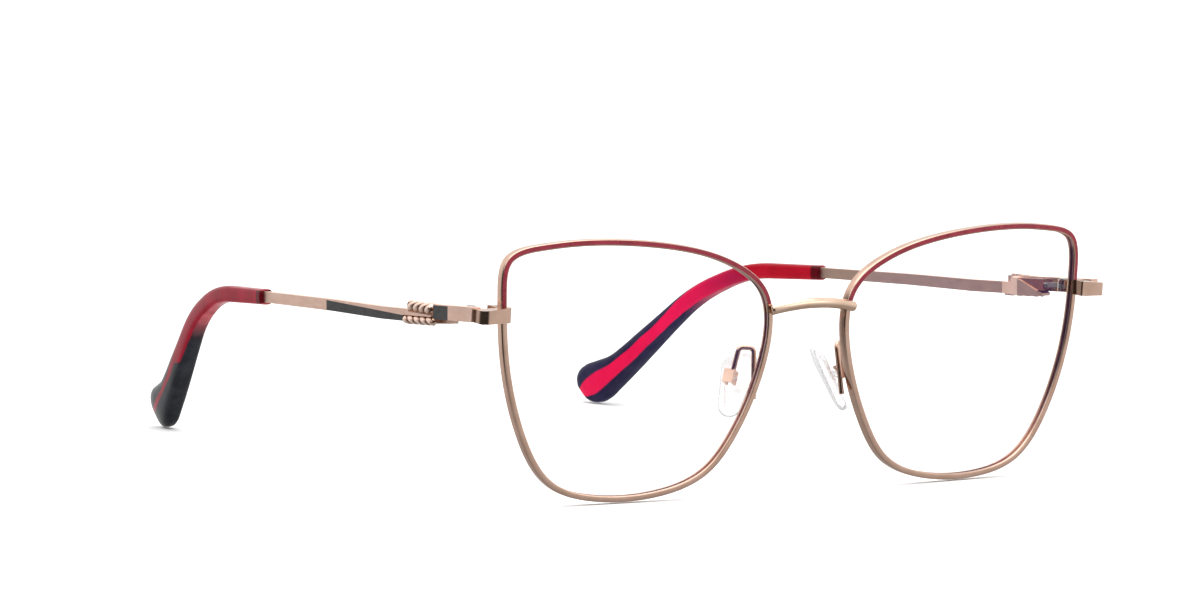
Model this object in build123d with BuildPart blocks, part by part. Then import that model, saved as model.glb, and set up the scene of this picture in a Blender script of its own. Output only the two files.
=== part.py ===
from build123d import *
import os
from math import cos, radians, sin, sqrt, tan

# Eyeglasses: a full-rim metal frame with lapped endpieces, spring hinges, rope ornaments and
# acetate temple tips. Every piece of the wearer's left is drawn and its mirror image is the right.
#
# The pieces are drawn in the axes of the front: X to the wearer's left, Y back along the temples,
# Z up in the plane of the lenses, from the point midway between the lens centres. When a piece is
# written it is leaned and lifted, so that the rims and the tips stand on the plane Z = 0 with the
# middle of the whole above the origin. All sizes are in millimetres and all angles in degrees.

os.makedirs("parts", exist_ok=True)

# ---------------------------------------------------------------- driving dimensions

# Front
EYE_OFFSET = 38.27        # from the middle of the nose to the centre of each lens
WRAP_ANGLE = 3.9          # each lens turns outwards by this much
BASE_RADIUS = 271.0       # radius of the dome that the front of each rim follows
RIM_WIDTH = 1.1           # of the eyewire, across the front
RIM_DEPTH = 1.6           # of the eyewire, front to back
GROOVE_DEPTH = 0.45
GROOVE_WIDTH = 0.6
LENS_THICKNESS = 1.3
LENS_CLEARANCE = 0.02
BLANK_DEPTH = 8.0         # of the stock that rims and lenses are cut from
BLANK_REACH = 6.0         # how far that stock starts behind the lens plane
BLANK_RADIUS = 36.0

# Outer edge of the eyewire from the lens centre: first number outwards, second upwards.
EYEWIRE = [
    (24.4, 0.0), (25.4, 11.4), (24.4, 17.4), (17.3, 19.9), (13.5, 20.3), (-3.0, 20.1),
    (-12.8, 18.7), (-22.4, 15.6), (-28.7, 10.8), (-28.8, -3.9), (-24.5, -13.8), (-19.1, -20.7),
    (-8.3, -24.7), (4.0, -25.0), (13.5, -22.2), (20.3, -13.2),
]
EYEWIRE_STEPS = 48        # points that each inset outline is drawn through

# Bridge
BRIDGE_RADIUS = 0.9
BRIDGE_HALF_SPAN = 9.0
BRIDGE_SET_FORWARD = 1.0
BRIDGE_HEIGHT = 7.4       # of its ends
BRIDGE_RISE = 1.1
BRIDGE_BOW = 1.0          # how far the middle stands in front of the ends

# Endpiece
ENDPIECE_NASAL = 62.8
ENDPIECE_OUTER = 68.5
ENDPIECE_FRONT = 0.9
ENDPIECE_BACK = 2.98      # where it lies on the rim
ENDPIECE_THICKNESS = 1.58
ENDPIECE_BEND = 1.4
ENDPIECE_EDGE = 0.3
BUTT_GAP = 0.03           # each side of the butt joint

# Rim lock, in the lens plane
LOCK_START = 24.6
LOCK_END = 27.0
LOCK_HEIGHT = 8.3
LOCK_HALF = 1.25
LOCK_SPLIT = 0.05
LOCK_BACK = -3.3
LOCK_FRONT = -1.35
LOCK_SCREW_OUT = 26.1
LOCK_SCREW_DEPTH = -2.45
LOCK_SCREW_RADIUS = 0.42

# Temple
BUTT = (68.0, 4.9, 8.0)   # the point that lengths along the temple are counted from
BUTT_LEAD = 1.1           # the butt joint is this far ahead of that point
TEMPLE_SLOPE = 6.45       # down towards the ear
TEMPLE_INWARD = 4.2       # towards the head
BLOCK_HALF_HEIGHT = 1.27
BLOCK_INNER = -0.8
BLOCK_OUTER = 0.9
BLOCK_LENGTH = 11.8
ENAMEL_START = 6.9
ENAMEL_DEPTH = 0.2
BAR_END = 71.9

# Spring hinge, from the butt joint along the temple and outwards from its middle plane
AXIS_BACK = 4.5
AXIS_OUT = -2.3
KNUCKLE_RADIUS = 1.05
KNUCKLE_INNER = 0.5      # height of the gap between the front leaf's knuckles, halved
KNUCKLE_OUTER = 1.0
BARREL_HALF = 0.45
PIN_RADIUS = 0.42
PIN_CLEARANCE = 0.04
SHANK_OUT = -1.95
SHANK_RADIUS = 0.36
COLLAR_RADIUS = 0.6
SPRING_RADIUS = 0.52      # to the middle of its wire
SPRING_WIRE = 0.11        # radius
SPRING_TURNS = 9
BORE_RADIUS = 0.7
HOUSING_FRONT = 9.0
HOUSING_INNER = -3.0
BUSH_LENGTH = 0.8
SHANK_END = 15.6
BORE_END = 16.6

# Ropes
UPPER_ROPE_RADIUS = 0.93
LOWER_ROPE_RADIUS = 0.75

# Tip
TIP_ROUTE = [(62.76, 76.25, -0.1), (60.0, 95.8, -2.4), (57.0, 107.1, -8.6), (50.85, 124.8, -27.4),
             (49.2, 128.6, -32.6)]
TIP_RADII = [31.5, 35.0, 60.0]
# distance along the route, depth of the section, thickness, and how far it is set back
TIP_SECTIONS = [
    (0.0, 2.8, 2.5, 0.0), (7.0, 2.9, 2.6, 0.0), (13.0, 3.0, 2.75, 0.0), (19.0, 3.1, 2.9, 0.0),
    (25.0, 3.3, 3.1, 0.0), (31.0, 3.6, 3.3, 0.03), (37.0, 3.95, 3.5, 0.08), (43.0, 4.4, 3.7, 0.1),
    (49.0, 5.1, 3.85, 0.1), (53.5, 5.6, 3.9, 0.1), (57.3, 6.3, 3.9, 0.3), (60.0, 7.6, 3.8, 0.95),
    (62.7, 8.9, 3.5, 1.75), (64.7, 8.4, 2.95, 2.3), (66.2, 6.2, 2.2, 2.65), (67.2, 2.8, 1.1, 2.95),
]
CORE_RADIUS = 0.5
CORE_CLEARANCE = 0.03
CORE_LENGTH = 50.0
CORE_ROOT = 1.2           # how far it runs into the bar

# Nose pads
PAD_CENTRE = (10.15, 6.3, -6.5)
PAD_SPLAY = 25.0          # its back edge turns outwards
PAD_LEAN = (-0.407, 0.265, 0.876)
PAD_THICKNESS = 1.9
PAD_EDGE = 0.8
BOX_BACK = 2.35           # from the middle of the pad to the middle of its box
ARM_RADIUS = 0.45
ARM_BEND = 0.9
ARM_ROUTE = [(9.75, 1.55, -8.6), (9.1, 3.2, 0.1), (11.3, 4.6, 0.1), (12.0, 4.9, -3.9)]

# Stance
LEAN_ANGLE = 3.49         # of the lens plane, top forwards, when the glasses stand on a table
STAND_HEIGHT = 25.145
STAND_SETBACK = 65.75

# ---------------------------------------------------------------- planes and shared shapes

LENS_PLANE = Plane(
    origin=(EYE_OFFSET, 0, 0),
    x_dir=(cos(radians(WRAP_ANGLE)), sin(radians(WRAP_ANGLE)), 0),
    z_dir=(sin(radians(WRAP_ANGLE)), -cos(radians(WRAP_ANGLE)), 0),
)
BLANK_PLANE = LENS_PLANE.offset(-BLANK_REACH)
LENS_SECTION = Plane(origin=LENS_PLANE.origin, x_dir=LENS_PLANE.x_dir, z_dir=(0, 0, -1))

LEVEL = Vector(-sin(radians(TEMPLE_INWARD)), cos(radians(TEMPLE_INWARD)), 0)
ALONG = LEVEL * cos(radians(TEMPLE_SLOPE)) - Vector(0, 0, sin(radians(TEMPLE_SLOPE)))
OUTWARDS = Vector(cos(radians(TEMPLE_INWARD)), sin(radians(TEMPLE_INWARD)), 0)

# A point (s, h) here is s behind the butt joint along the temple and h above its middle.
SIDE = Plane(origin=BUTT, x_dir=ALONG, z_dir=OUTWARDS)
# A point (s, t) here is s behind the butt joint and t towards the head.
TOP = Plane(origin=BUTT, x_dir=ALONG, z_dir=SIDE.y_dir)
HINGE_POINT = SIDE.from_local_coords((AXIS_BACK, 0, AXIS_OUT))
# A point (t, s) here is t outwards and s back from the hinge axis, which is its normal.
HINGE = Plane(origin=HINGE_POINT, x_dir=OUTWARDS, z_dir=(0, 0, 1))

STAND = Location((0, -STAND_SETBACK, STAND_HEIGHT)) * Location((0, 0, 0), (LEAN_ANGLE, 0, 0))


def write(piece, name):
    """Stand a finished piece on its feet and write it as one node."""
    standing = piece.moved(STAND)
    standing.label = name
    export_step(standing, f"parts/{name}.step")


def write_pair(piece, name):
    """Write a piece of the wearer's left and its mirror image for the right."""
    write(piece, f"left_{name}")
    write(mirror(piece, about=Plane.YZ), f"right_{name}")


def eyewire_face(inset):
    """The area inside the eyewire's outer edge, made smaller all round by the inset."""
    edge = Spline(*EYEWIRE, periodic=True)
    points = []
    for step in range(EYEWIRE_STEPS):
        tangent = edge.tangent_at(step / EYEWIRE_STEPS)
        inwards = Vector(-tangent.Y, tangent.X)
        points.append(edge.position_at(step / EYEWIRE_STEPS) + inwards * inset)
    outline = Spline(*points, periodic=True)
    with BuildSketch(BLANK_PLANE) as face:
        with BuildLine():
            for quarter in range(4):
                add(outline.trim(quarter / 4, (quarter + 1) / 4))
        make_face()
    return face.sketch


def dome_blank(front_depth, thickness):
    """Stock between two domes, the first this far behind the front surface of the rims."""
    front = BASE_RADIUS - front_depth
    back = front - thickness

    def profile_point(radius, out):
        return (out, sqrt(radius**2 - out**2) - BASE_RADIUS)

    with BuildPart() as blank:
        with BuildSketch(LENS_SECTION) as profile:
            with BuildLine():
                Line(profile_point(front, 0), profile_point(back, 0))
                ThreePointArc(*(profile_point(back, out) for out in (0, BLANK_RADIUS / 2, BLANK_RADIUS)))
                Line(profile_point(back, BLANK_RADIUS), profile_point(front, BLANK_RADIUS))
                ThreePointArc(*(profile_point(front, out) for out in (BLANK_RADIUS, BLANK_RADIUS / 2, 0)))
            make_face()
        revolve(profile.sketch, axis=Axis(LENS_PLANE.origin, LENS_PLANE.z_dir))
    return blank.part


def side_plate(points, inner, outer, mode=Mode.ADD):
    """A plate with this side outline, between two distances out from the temple's middle plane."""
    with BuildSketch(SIDE.offset(inner)) as outline:
        with BuildLine():
            Polyline(*points, close=True)
        make_face()
    extrude(outline.sketch, amount=outer - inner, mode=mode)


def temple_rod(start, end, height, out, radius, mode=Mode.ADD):
    """A round rod along the temple between two distances from the butt joint."""
    origin = SIDE.from_local_coords((start, height, out))
    with BuildSketch(Plane(origin=origin, x_dir=OUTWARDS, z_dir=ALONG)) as disc:
        Circle(radius)
    extrude(disc.sketch, amount=end - start, mode=mode)


# ---------------------------------------------------------------- rims and lenses

rim_outline = eyewire_face(0)
groove_outline = eyewire_face(RIM_WIDTH - GROOVE_DEPTH)
rim_opening = eyewire_face(RIM_WIDTH)
bevel_outline = eyewire_face(RIM_WIDTH - GROOVE_DEPTH + 2 * LENS_CLEARANCE)
lens_outline = eyewire_face(RIM_WIDTH + LENS_CLEARANCE)

with BuildPart() as groove:
    add(dome_blank((RIM_DEPTH - GROOVE_WIDTH) / 2, GROOVE_WIDTH))
    extrude(groove_outline, amount=BLANK_DEPTH, mode=Mode.INTERSECT)

with BuildPart() as rim:
    add(dome_blank(0, RIM_DEPTH))
    extrude(rim_outline, amount=BLANK_DEPTH, mode=Mode.INTERSECT)
    extrude(rim_opening, amount=BLANK_DEPTH, mode=Mode.SUBTRACT)
    add(groove.part, mode=Mode.SUBTRACT)
    # The split that lets the lens in, behind the endpiece.
    with Locations(LENS_PLANE.from_local_coords((LOCK_START, LOCK_HEIGHT, -RIM_DEPTH))):
        Box(2 * RIM_WIDTH + 1, 2 * BLANK_REACH, 2 * LOCK_SPLIT, mode=Mode.SUBTRACT)
write_pair(rim.part, "rim")

with BuildPart() as bevel:
    add(dome_blank((RIM_DEPTH - GROOVE_WIDTH) / 2 + LENS_CLEARANCE, GROOVE_WIDTH - 2 * LENS_CLEARANCE))
    extrude(bevel_outline, amount=BLANK_DEPTH, mode=Mode.INTERSECT)

with BuildPart() as lens:
    add(dome_blank((RIM_DEPTH - LENS_THICKNESS) / 2, LENS_THICKNESS))
    extrude(lens_outline, amount=BLANK_DEPTH, mode=Mode.INTERSECT)
    add(bevel.part)
write_pair(lens.part, "lens")

# ---------------------------------------------------------------- bridge

with BuildPart() as bridge:
    with BuildLine() as bridge_line:
        ThreePointArc(
            (-BRIDGE_HALF_SPAN, -BRIDGE_SET_FORWARD, BRIDGE_HEIGHT),
            (0, -BRIDGE_SET_FORWARD - BRIDGE_BOW, BRIDGE_HEIGHT + BRIDGE_RISE),
            (BRIDGE_HALF_SPAN, -BRIDGE_SET_FORWARD, BRIDGE_HEIGHT),
        )
    with BuildSketch(bridge_line.line ^ 0):
        Circle(BRIDGE_RADIUS)
    sweep()
    # Its ends are filed to sit on the rims.
    add(rim.part, mode=Mode.SUBTRACT)
    add(mirror(rim.part, about=Plane.YZ), mode=Mode.SUBTRACT)
write(bridge.part, "bridge")

# ---------------------------------------------------------------- endpiece and rim lock

BUTT_LEAN = tan(radians(TEMPLE_INWARD)) * (ENDPIECE_OUTER - BUTT[0])
BUTT_LINE = BUTT[1] - BUTT_LEAD - BUTT_GAP

with BuildPart() as endpiece:
    with BuildSketch(Plane.XY.offset(BUTT[2] - 2)):
        with BuildLine():
            FilletPolyline(
                (ENDPIECE_NASAL, ENDPIECE_FRONT),
                (ENDPIECE_OUTER, ENDPIECE_FRONT),
                (ENDPIECE_OUTER, BUTT_LINE + BUTT_LEAN),
                radius=ENDPIECE_BEND,
            )
            Polyline(
                (ENDPIECE_OUTER, BUTT_LINE + BUTT_LEAN),
                (ENDPIECE_OUTER - ENDPIECE_THICKNESS, BUTT_LINE - BUTT_LEAN),
                (ENDPIECE_OUTER - ENDPIECE_THICKNESS, ENDPIECE_BACK),
                (ENDPIECE_NASAL, ENDPIECE_BACK),
                (ENDPIECE_NASAL, ENDPIECE_FRONT),
            )
        make_face()
    extrude(amount=4)
    # Seen from the front the bar is deepest on the rim and narrows towards the bend.
    with BuildSketch(Plane.XZ.offset(-10)):
        with BuildLine():
            Polyline((62.0, 6.95), (62.0, 9.65), (69.5, 9.0), (69.5, 6.8), close=True)
        make_face()
    extrude(amount=12, mode=Mode.INTERSECT)
    front_edges = endpiece.edges().filter_by_position(Axis.Y, ENDPIECE_FRONT, ENDPIECE_FRONT)
    fillet(front_edges, radius=ENDPIECE_EDGE)
    add(rim.part, mode=Mode.SUBTRACT)
write_pair(endpiece.part, "endpiece")


def lock_half(low, high):
    """One half of the closing block, between two heights above the lens centre."""
    with BuildPart() as half:
        with BuildSketch(LENS_PLANE.offset(LOCK_BACK)):
            with Locations(((LOCK_START + LOCK_END) / 2, (low + high) / 2)):
                Rectangle(LOCK_END - LOCK_START, high - low)
        extrude(amount=LOCK_FRONT - LOCK_BACK)
        extrude(rim_outline, amount=BLANK_DEPTH, mode=Mode.SUBTRACT)
        with Locations(LOCK_SCREW_SEAT):
            Cylinder(LOCK_SCREW_RADIUS + PIN_CLEARANCE, 4 * LOCK_HALF, mode=Mode.SUBTRACT)
    return half.part


LOCK_SCREW_SEAT = LENS_PLANE.from_local_coords((LOCK_SCREW_OUT, LOCK_HEIGHT, LOCK_SCREW_DEPTH))

rim_lock_upper = lock_half(LOCK_HEIGHT + LOCK_SPLIT, LOCK_HEIGHT + LOCK_HALF)
rim_lock_lower = lock_half(LOCK_HEIGHT - LOCK_HALF, LOCK_HEIGHT - LOCK_SPLIT)
write_pair(rim_lock_upper, "rim_lock_upper")
write_pair(rim_lock_lower, "rim_lock_lower")

with BuildPart() as rim_lock_screw:
    with BuildSketch(Plane(LOCK_SCREW_SEAT - Vector(0, 0, LOCK_HALF + 0.25), z_dir=(0, 0, 1))):
        Circle(0.7)
    extrude(amount=0.25)
    with BuildSketch(Plane(LOCK_SCREW_SEAT - Vector(0, 0, LOCK_HALF), z_dir=(0, 0, 1))):
        Circle(LOCK_SCREW_RADIUS)
    extrude(amount=2 * LOCK_HALF)
    with Locations(LOCK_SCREW_SEAT - Vector(0, 0, LOCK_HALF + 0.25)):
        Box(2, 0.2, 0.3, mode=Mode.SUBTRACT)
write_pair(rim_lock_screw.part, "rim_lock_screw")

# ---------------------------------------------------------------- spring hinge

with BuildPart() as hinge_leaf:
    for bottom in (-KNUCKLE_OUTER, KNUCKLE_INNER):
        with BuildSketch(HINGE.offset(bottom)) as knuckle:
            Circle(KNUCKLE_RADIUS)
            with BuildLine():
                Polyline((-0.4, 0.9), (0.4, 0.9), (0.4, -5.6), (-0.4, -5.6), close=True)
            make_face()
        extrude(knuckle.sketch, amount=KNUCKLE_OUTER - KNUCKLE_INNER)
    # The foot that is soldered inside the endpiece.
    with BuildSketch(HINGE.offset(-KNUCKLE_OUTER)) as foot:
        with BuildLine():
            Polyline((-0.4, -5.55), (-0.4, -6.3), (1.55, -6.3), (1.55, -5.55), close=True)
        make_face()
    extrude(foot.sketch, amount=2 * KNUCKLE_OUTER)
    with Locations(HINGE_POINT):
        Cylinder(PIN_RADIUS + PIN_CLEARANCE, 4 * KNUCKLE_OUTER, mode=Mode.SUBTRACT)
    add(endpiece.part, mode=Mode.SUBTRACT)
write_pair(hinge_leaf.part, "hinge_leaf")

with BuildPart() as hinge_screw:
    with BuildSketch(HINGE.offset(-KNUCKLE_OUTER)):
        Circle(PIN_RADIUS)
    extrude(amount=2 * KNUCKLE_OUTER)
    with BuildSketch(HINGE.offset(KNUCKLE_OUTER + PIN_CLEARANCE)):
        Circle(0.8)
    extrude(amount=0.25)
    with BuildSketch(HINGE.offset(KNUCKLE_OUTER - 0.1)):
        Circle(PIN_RADIUS)
    extrude(amount=0.2)
    with Locations(HINGE_POINT + Vector(0, 0, KNUCKLE_OUTER + PIN_CLEARANCE + 0.2)):
        Box(2, 0.2, 0.25, mode=Mode.SUBTRACT)
write_pair(hinge_screw.part, "hinge_screw")

with BuildPart() as hinge_tongue:
    with BuildSketch(HINGE.offset(-BARREL_HALF)):
        Circle(KNUCKLE_RADIUS)
    extrude(amount=2 * BARREL_HALF)
    side_plate([(5.2, 0.44), (5.2, -0.36), (5.9, -0.36), (8.2, -0.44), (8.2, 0.44)],
               AXIS_OUT - 0.3, AXIS_OUT + 0.8)
    temple_rod(8.0, SHANK_END, 0, SHANK_OUT, SHANK_RADIUS)
    temple_rod(SHANK_END - 0.5, SHANK_END, 0, SHANK_OUT, COLLAR_RADIUS)
    with Locations(HINGE_POINT):
        Cylinder(PIN_RADIUS + PIN_CLEARANCE, 4 * BARREL_HALF, mode=Mode.SUBTRACT)
write_pair(hinge_tongue.part, "hinge_tongue")

with BuildPart() as spring_bush:
    temple_rod(HOUSING_FRONT, HOUSING_FRONT + BUSH_LENGTH, 0, SHANK_OUT, BORE_RADIUS)
    temple_rod(HOUSING_FRONT, HOUSING_FRONT + BUSH_LENGTH, 0, SHANK_OUT,
               SHANK_RADIUS + PIN_CLEARANCE, Mode.SUBTRACT)
write_pair(spring_bush.part, "spring_bush")

SPRING_START = HOUSING_FRONT + BUSH_LENGTH + SPRING_WIRE + 0.02
SPRING_LENGTH = SHANK_END - 0.5 - SPRING_WIRE - 0.02 - SPRING_START

with BuildPart() as hinge_spring:
    with BuildLine() as coil:
        Helix(pitch=SPRING_LENGTH / SPRING_TURNS, height=SPRING_LENGTH, radius=SPRING_RADIUS,
              center=SIDE.from_local_coords((SPRING_START, 0, SHANK_OUT)), direction=ALONG)
    with BuildSketch(coil.line ^ 0):
        RegularPolygon(SPRING_WIRE, side_count=8)
    sweep(is_frenet=True)
write_pair(hinge_spring.part, "hinge_spring")

# ---------------------------------------------------------------- temple bars

# The butt face stands upright in the axes of the front, so it leans in the temple's own.
BUTT_SKEW = BLOCK_HALF_HEIGHT * tan(radians(TEMPLE_SLOPE))

with BuildPart() as temple_front_bar:
    side_plate(
        [(BUTT_GAP - BUTT_LEAD - BUTT_SKEW, BLOCK_HALF_HEIGHT),
         (BUTT_GAP - BUTT_LEAD + BUTT_SKEW, -BLOCK_HALF_HEIGHT),
         (BLOCK_LENGTH, -BLOCK_HALF_HEIGHT), (BLOCK_LENGTH, BLOCK_HALF_HEIGHT)],
        BLOCK_INNER, BLOCK_OUTER)
    side_plate(
        [(ENAMEL_START, -2), (BLOCK_LENGTH + 1, -2), (BLOCK_LENGTH + 1, 1.12), (ENAMEL_START, 1.12)],
        BLOCK_OUTER - ENAMEL_DEPTH, BLOCK_OUTER + 1, Mode.SUBTRACT)
    # Behind the block only the upper half goes on, as the backing of the upper rope.
    side_plate([(11.6, BLOCK_HALF_HEIGHT), (20.4, 1.3), (20.4, -0.17), (11.6, -0.6)], BLOCK_INNER, 0)
write_pair(temple_front_bar.part, "temple_front_bar")

with BuildPart() as front_enamel:
    side_plate(
        [(ENAMEL_START, -BLOCK_HALF_HEIGHT), (BLOCK_LENGTH, -BLOCK_HALF_HEIGHT),
         (BLOCK_LENGTH, 1.12), (ENAMEL_START, 1.12)],
        BLOCK_OUTER - ENAMEL_DEPTH, BLOCK_OUTER)
write_pair(front_enamel.part, "front_enamel")

# The rear bar swells into a boss on the inside of the front bar, cut off on a slant.
BOSS_OUTLINE = [(9.6, -2.05), (9.3, -1.55), (15.2, 0.9), (17.9, 1.22), (18.5, 0.1), (23.0, 0.1),
                (23.0, -2.04), (13.0, -2.15)]
BOSS_TOP = [(9.0, 0.8), (9.3, 2.7), (10.5, 3.3), (15.5, 3.3), (22.0, 0.8)]

with BuildPart() as spring_bore:
    temple_rod(HOUSING_FRONT, BORE_END, 0, SHANK_OUT, BORE_RADIUS)

with BuildPart() as boss:
    side_plate(BOSS_OUTLINE, -3.5, BLOCK_INNER)
    with BuildSketch(TOP.offset(-4)) as boss_top:
        with BuildLine():
            Polyline(*BOSS_TOP, close=True)
        make_face()
    extrude(boss_top.sketch, amount=8, mode=Mode.INTERSECT)
    add(spring_bore.part, mode=Mode.SUBTRACT)

with BuildPart() as hinge_housing:
    side_plate([(HOUSING_FRONT, -1.05), (17.0, -1.05), (17.0, 1.05), (HOUSING_FRONT, 1.05)],
               HOUSING_INNER, BLOCK_INNER)
    side_plate([(9.3, -3), (9.3, -1.55), (15.2, 0.9), (17.9, 1.22), (20.0, 1.22), (20.0, -3.0)],
               -4, 0, Mode.SUBTRACT)
    add(spring_bore.part, mode=Mode.SUBTRACT)
write_pair(hinge_housing.part, "hinge_housing")

with BuildLine() as tip_line:
    FilletPolyline(*TIP_ROUTE, radius=TIP_RADII)
TIP_PATH = tip_line.wire()

with BuildPart() as core_wire:
    with BuildSketch(TIP_PATH ^ 0) as disc:
        Circle(CORE_RADIUS)
    sweep(disc.sketch, path=TIP_PATH)
    extrude(disc.sketch, amount=-CORE_ROOT)
    cut = TIP_PATH ^ (CORE_LENGTH / TIP_PATH.length)
    split(bisect_by=Plane(cut.position, z_dir=cut.z_axis.direction), keep=Keep.BOTTOM)

BAR_TOP = [(22.5, 0.09), (30.0, 0.15), (47.0, 0.62), (BAR_END, 0.97)]
BAR_BOTTOM = [(BAR_END, -0.97), (47.0, -1.42), (30.0, -2.0), (22.5, -2.05)]
REAR_ENAMEL = [(22.5, -1.05), (49.2, 0.42), (49.2, -1.38), (47.0, -1.42), (30.0, -2.0), (22.5, -2.05)]
BAR_INNER = -0.7
BAR_OUTER = 0.6

with BuildPart() as temple_rear_bar:
    side_plate(BAR_TOP + BAR_BOTTOM, BAR_INNER, BAR_OUTER)
    # Forward of this the bar lies between and behind the two ropes.
    side_plate([(12.6, -0.57), (20.5, -0.19), (20.7, 0.05), (22.6, 0.09), (22.6, -2.05), (12.6, -2.15)],
               BLOCK_INNER, 0)
    side_plate([(13.0, -0.7), (20.7, -0.32), (20.7, 0.05), (22.6, 0.09), (22.6, -1.02), (13.0, -0.97)],
               -0.1, BAR_OUTER)
    add(boss.part)
    side_plate([(22.5, -1.05), (49.2, 0.42), (49.2, -3), (22.5, -3)],
               BAR_OUTER - ENAMEL_DEPTH, BAR_OUTER + 1, Mode.SUBTRACT)
    add(core_wire.part)
write_pair(temple_rear_bar.part, "temple_rear_bar")

with BuildPart() as rear_enamel:
    side_plate(REAR_ENAMEL, BAR_OUTER - ENAMEL_DEPTH, BAR_OUTER)
write_pair(rear_enamel.part, "rear_enamel")

# ---------------------------------------------------------------- rope ornaments


def rope(start, end, out, radius):
    """A half-round rope between two points of the temple's side, flat at the back."""
    first = SIDE.from_local_coords((*start, out))
    last = SIDE.from_local_coords((*end, out))
    with BuildPart() as strand:
        with BuildSketch(Plane(origin=first, x_dir=OUTWARDS, z_dir=last - first)) as disc:
            Circle(radius)
        extrude(disc.sketch, amount=(last - first).length)
        fillet(strand.edges().filter_by(GeomType.CIRCLE), radius=0.5 * radius)
        side_plate([(11, 3), (24, 3), (24, -4), (11, -4)], -3, 0, Mode.SUBTRACT)
    return strand.part


upper_rope = rope((12.4, 0.36), (20.6, 0.76), 0.35, UPPER_ROPE_RADIUS)
lower_rope = rope((12.1, -1.74), (22.4, -1.8), 0.25, LOWER_ROPE_RADIUS)
write_pair(upper_rope, "upper_rope")
write_pair(lower_rope, "lower_rope")

# ---------------------------------------------------------------- temple tip

with BuildPart() as temple_tip:
    for distance, depth, thickness, setback in TIP_SECTIONS:
        station = TIP_PATH ^ min(distance / TIP_PATH.length, 1)
        tangent = station.z_axis.direction
        rearwards = OUTWARDS.cross(tangent).normalized()
        overshoot = max(distance - TIP_PATH.length, 0)
        origin = station.position + rearwards * setback + tangent * overshoot
        with BuildSketch(Plane(origin=origin, x_dir=OUTWARDS, z_dir=tangent)):
            RectangleRounded(thickness, depth, 0.42 * thickness)
    loft()
    with BuildSketch(TIP_PATH ^ 0) as hole:
        Circle(CORE_RADIUS + CORE_CLEARANCE)
    sweep(hole.sketch, path=TIP_PATH, mode=Mode.SUBTRACT)
write_pair(temple_tip.part, "temple_tip")

# ---------------------------------------------------------------- nose pads

PAD_UP = Vector(*PAD_LEAN).normalized()
PAD_ACROSS = Vector(sin(radians(PAD_SPLAY)), cos(radians(PAD_SPLAY)), 0)
PAD_NORMAL = PAD_UP.cross(PAD_ACROSS).normalized()
PAD = Plane(origin=PAD_CENTRE, x_dir=PAD_UP.cross(PAD_NORMAL) * -1, z_dir=PAD_NORMAL)

with BuildPart() as nose_pad:
    with BuildSketch(PAD.offset(-PAD_THICKNESS / 2)):
        with Locations((0, -3.1)):
            Circle(3.4)
        with Locations((0, 4.2)):
            Circle(2.3)
        make_hull()
    extrude(amount=PAD_THICKNESS)
    fillet(nose_pad.edges().group_by(Axis(PAD.origin, PAD.z_dir))[-1], radius=PAD_EDGE)
    # The lug that the screw goes through.
    with BuildSketch(PAD.offset(-BOX_BACK - 0.6)):
        Rectangle(0.9, 1.5)
    extrude(amount=BOX_BACK)
    with Locations(PAD * Location((0, 0, -BOX_BACK), (0, 90, 0))):
        Cylinder(0.3 + PIN_CLEARANCE, 4, mode=Mode.SUBTRACT)
write_pair(nose_pad.part, "nose_pad")

with BuildPart() as pad_box:
    with BuildSketch(PAD.offset(-BOX_BACK - 1.3)):
        Rectangle(1.9, 2.4)
    extrude(amount=1.9)
    with BuildSketch(PAD.offset(-BOX_BACK - 0.9)):
        Rectangle(1.1, 5)
    extrude(amount=3, mode=Mode.SUBTRACT)
    with Locations(PAD * Location((0, 0, -BOX_BACK), (0, 90, 0))):
        Cylinder(0.3 + PIN_CLEARANCE, 4, mode=Mode.SUBTRACT)
write_pair(pad_box.part, "pad_box")

with BuildPart() as pad_screw:
    with Locations(PAD * Location((0, 0, -BOX_BACK), (0, 90, 0))):
        Cylinder(0.3, 1.9)
    with Locations(PAD * Location((1.1, 0, -BOX_BACK), (0, 90, 0))):
        Cylinder(0.5, 0.3)
write_pair(pad_screw.part, "pad_screw")

with BuildPart() as pad_arm:
    with BuildLine() as arm_line:
        FilletPolyline(*ARM_ROUTE, radius=ARM_BEND)
    with BuildSketch(arm_line.line ^ 0):
        Circle(ARM_RADIUS)
    sweep()
    add(rim.part, mode=Mode.SUBTRACT)
    add(pad_box.part, mode=Mode.SUBTRACT)
write_pair(pad_arm.part, "pad_arm")
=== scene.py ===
from math import asin, cos, pi, radians, sin, sqrt, tan

import bpy
import numpy as np
from mathutils import Euler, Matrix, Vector


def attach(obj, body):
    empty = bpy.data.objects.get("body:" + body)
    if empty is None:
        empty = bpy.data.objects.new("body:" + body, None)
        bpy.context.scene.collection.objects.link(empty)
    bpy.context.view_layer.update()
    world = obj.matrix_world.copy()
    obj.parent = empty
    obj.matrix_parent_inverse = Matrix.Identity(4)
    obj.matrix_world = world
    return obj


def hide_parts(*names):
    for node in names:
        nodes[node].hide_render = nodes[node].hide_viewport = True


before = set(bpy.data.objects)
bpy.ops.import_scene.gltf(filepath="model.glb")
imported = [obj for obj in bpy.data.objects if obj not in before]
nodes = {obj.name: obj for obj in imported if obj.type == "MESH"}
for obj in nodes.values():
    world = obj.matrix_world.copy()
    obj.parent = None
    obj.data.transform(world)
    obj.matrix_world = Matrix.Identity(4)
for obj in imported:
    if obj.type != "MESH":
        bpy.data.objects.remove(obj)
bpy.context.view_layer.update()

MM = 0.001
SIDES = (("left", 1.0), ("right", -1.0))

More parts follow.
